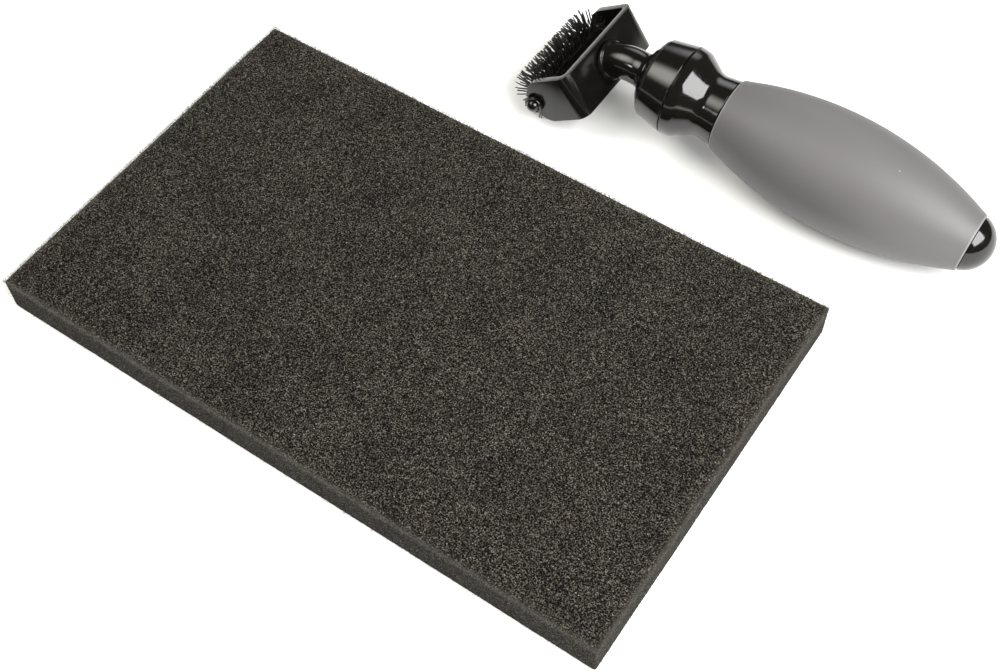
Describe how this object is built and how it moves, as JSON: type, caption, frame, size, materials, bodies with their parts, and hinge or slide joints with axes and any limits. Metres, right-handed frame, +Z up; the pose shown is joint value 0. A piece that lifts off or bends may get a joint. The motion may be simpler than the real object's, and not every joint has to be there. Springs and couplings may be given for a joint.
{
  "type": "die brush and foam pad set",
  "caption": "Hand tool with a barrel grip, screw collar and bent neck carrying a small bristle roller in a U bracket, lying beside a flat foam work pad.",
  "frame": {"origin": "centre of the foam pad's underside, on the surface that pad and brush lie on", "axes": "+X along the pad's long side, toward the end where the brush's grip lies; +Y from the pad toward the brush; +Z up"},
  "size_m": [0.263, 0.2116, 0.0408],
  "materials": {
    "foam": "matte",
    "grip_rubber": "matte",
    "gloss_black": "gloss",
    "bracket_steel": "satin",
    "bright_steel": "satin",
    "black_nylon": "satin",
    "roller_plastic": "satin"
  },
  "bodies": {
    "pad": {"foam_pad": "foam"},
    "handle": {"grip_sleeve": "grip_rubber", "handle_core": "gloss_black", "end_cap": "gloss_black", "collet": "bright_steel"},
    "thread_ring": {"clamp_ring": "bright_steel"},
    "collar": {"clamp_collar": "gloss_black"},
    "head": {"neck_elbow": "gloss_black", "yoke_bracket": "bracket_steel", "neck_washer": "bright_steel", "neck_screw": "bright_steel", "axle_pin": "gloss_black", "axle_cap": "gloss_black", "thrust_washer_near": "bright_steel", "thrust_washer_far": "bright_steel"},
    "roller": {"roller_core": "roller_plastic", "bristle_row_01": "black_nylon", "bristle_row_02": "black_nylon", "bristle_row_03": "black_nylon", "bristle_row_04": "black_nylon", "bristle_row_05": "black_nylon", "bristle_row_06": "black_nylon", "bristle_row_07": "black_nylon", "bristle_row_08": "black_nylon", "bristle_row_09": "black_nylon", "bristle_row_10": "black_nylon", "bristle_row_11": "black_nylon", "bristle_row_12": "black_nylon", "bristle_row_13": "black_nylon", "bristle_row_14": "black_nylon", "bristle_row_15": "black_nylon", "bristle_row_16": "black_nylon"}
  },
  "joints": [
    {"name": "brush_lift", "type": "slide", "parent": "pad", "child": "handle", "axis": [0, 0, 1], "range_m": [0, 0.12]},
    {"name": "thread_travel", "type": "slide", "parent": "handle", "child": "thread_ring", "axis": [-0.9976, 0, 0.0694], "range_m": [0, 0.003]},
    {"name": "collar_turn", "type": "hinge", "parent": "thread_ring", "child": "collar", "pos_m": [0.03194, 0.11565, 0.02459], "axis": [-0.9976, 0, 0.0694], "range_deg": [0, 720]},
    {"name": "head_release", "type": "slide", "parent": "handle", "child": "head", "axis": [-0.9976, 0, 0.0694], "range_m": [0, 0.022]},
    {"name": "roller_spin", "type": "hinge", "parent": "head", "child": "roller", "pos_m": [-0.014, 0.11565, 0.0115], "axis": [0, -1, 0], "continuous": true}
  ],
  "couplings": [
    {"joint": "thread_travel", "follows": "collar_turn", "m_per_rad": 0.00023873}
  ]
}
